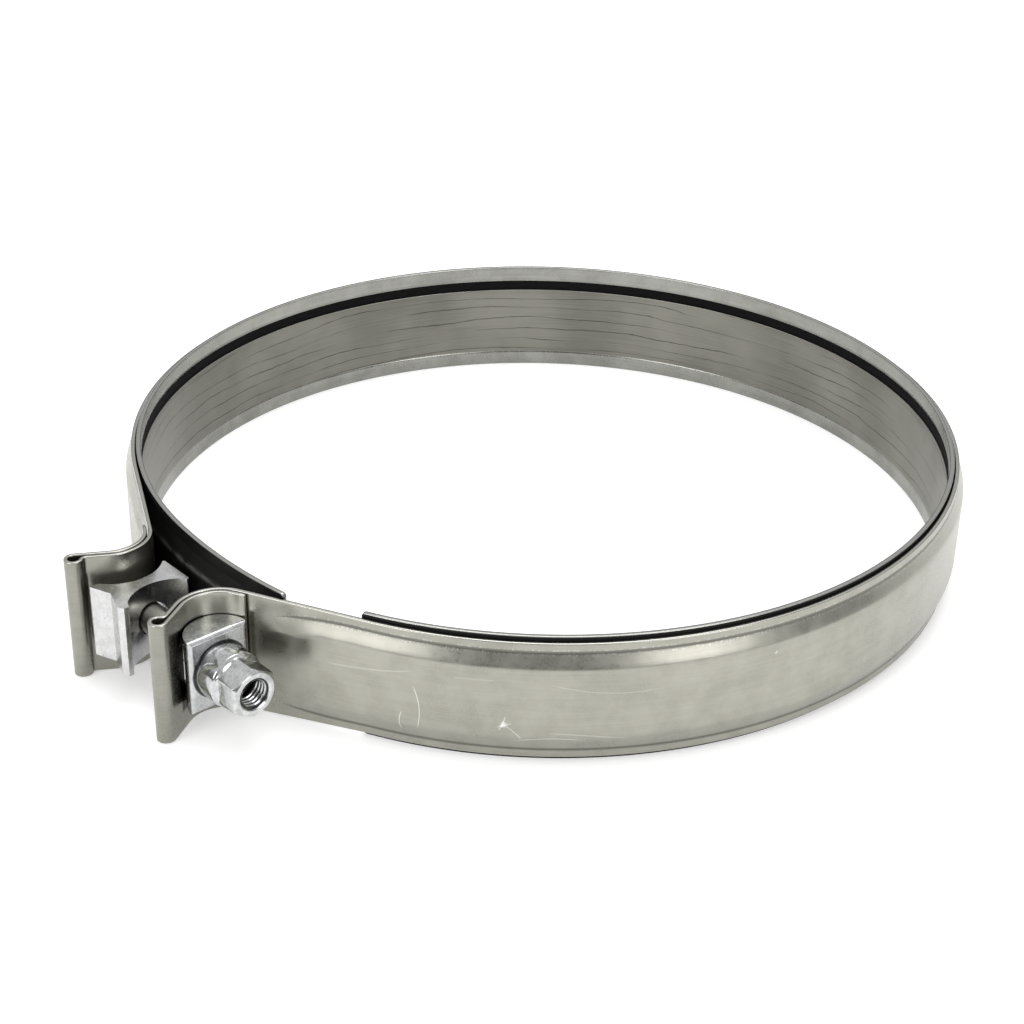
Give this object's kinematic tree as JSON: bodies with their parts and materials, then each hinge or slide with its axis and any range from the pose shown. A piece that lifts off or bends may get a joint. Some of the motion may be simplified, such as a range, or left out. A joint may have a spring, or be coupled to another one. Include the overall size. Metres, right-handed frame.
{
  "type": "gasketed flat clamp",
  "caption": "Large steel band clamp with a stepped hoop, an inner gasket carrier, folded ears and a transverse bolt with a loose spacer between the ears.",
  "frame": {"origin": "on the hoop's axis at mid height of the carrier", "axes": "+Z along the hoop's axis, the two ears stand out along -Y, and +X runs along the bolt from its head to the nut"},
  "size_m": [0.2988, 0.3326, 0.0444],
  "materials": {
    "band_steel": "rolled sheet, matt grey with a faint warm cast",
    "carrier_steel": "rolled sheet, a little brighter at the rims",
    "graphite": "matt black",
    "facing_steel": "thin strip with fine lengthwise lines",
    "plated_steel": "bright zinc with a blue cast",
    "spacer_steel": "bright zinc over a slightly grainy blank"
  },
  "bodies": {
    "clamp": {"clamp_band": "band_steel", "gasket_carrier": "carrier_steel", "gasket_core": "graphite", "gasket_facing": "facing_steel", "t_bolt": "plated_steel"},
    "spacer": {"reaction_block": "spacer_steel"},
    "saddle_block": {"trunnion_block": "plated_steel"},
    "nut": {"sleeve_nut": "plated_steel"}
  },
  "joints": [
    {"name": "spacer_slide", "type": "slide", "parent": "clamp", "child": "spacer", "axis": [1, 0, 0], "range_m": [-0.0025, 0.021]},
    {"name": "block_slide", "type": "slide", "parent": "clamp", "child": "saddle_block", "axis": [1, 0, 0], "range_m": [0, 0.006]},
    {"name": "nut_spin", "type": "hinge", "parent": "saddle_block", "child": "nut", "pos_m": [0.0308, -0.1632, 0], "axis": [1, 0, 0], "range_deg": [0, 1440]}
  ],
  "couplings": [
    {"joint": "nut_spin", "follows": "block_slide", "rad_per_m": 4188.8}
  ]
}
